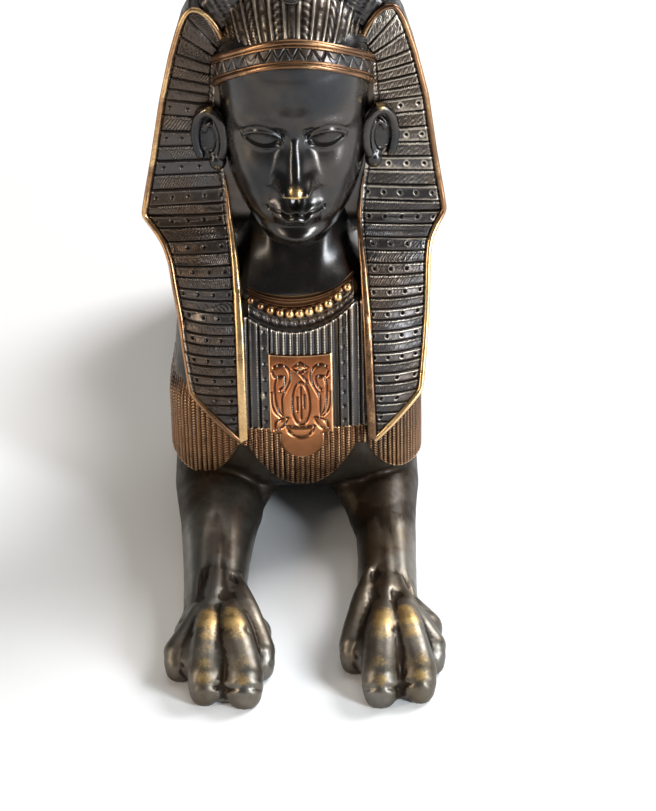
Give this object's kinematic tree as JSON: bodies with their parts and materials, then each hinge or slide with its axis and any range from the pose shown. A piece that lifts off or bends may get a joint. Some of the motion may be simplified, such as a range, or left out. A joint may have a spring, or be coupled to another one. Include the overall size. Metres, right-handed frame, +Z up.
{
  "type": "sphinx statue",
  "caption": "Recumbent Egyptian-style sphinx cast in dark bronze, with striped headcloth, beaded collar, ribbed breast apron and outstretched forelegs; an ornament that stands on a shelf.",
  "frame": {"origin": "bottom centre of the bounding box, on the surface that the sphinx rests on", "axes": "+Z up, the sphinx faces -Y, +X is its left side"},
  "size_m": [0.0821, 0.2292, 0.16],
  "materials": {
    "dark_bronze": "dark brown patina, polished by handling",
    "gilt_bronze": "rubbed gilding over bronze",
    "copper_plate": "bare copper-coloured bronze, darkened in the lines"
  },
  "bodies": {
    "root": {"sphinx": "dark_bronze"}
  },
  "joints": []
}
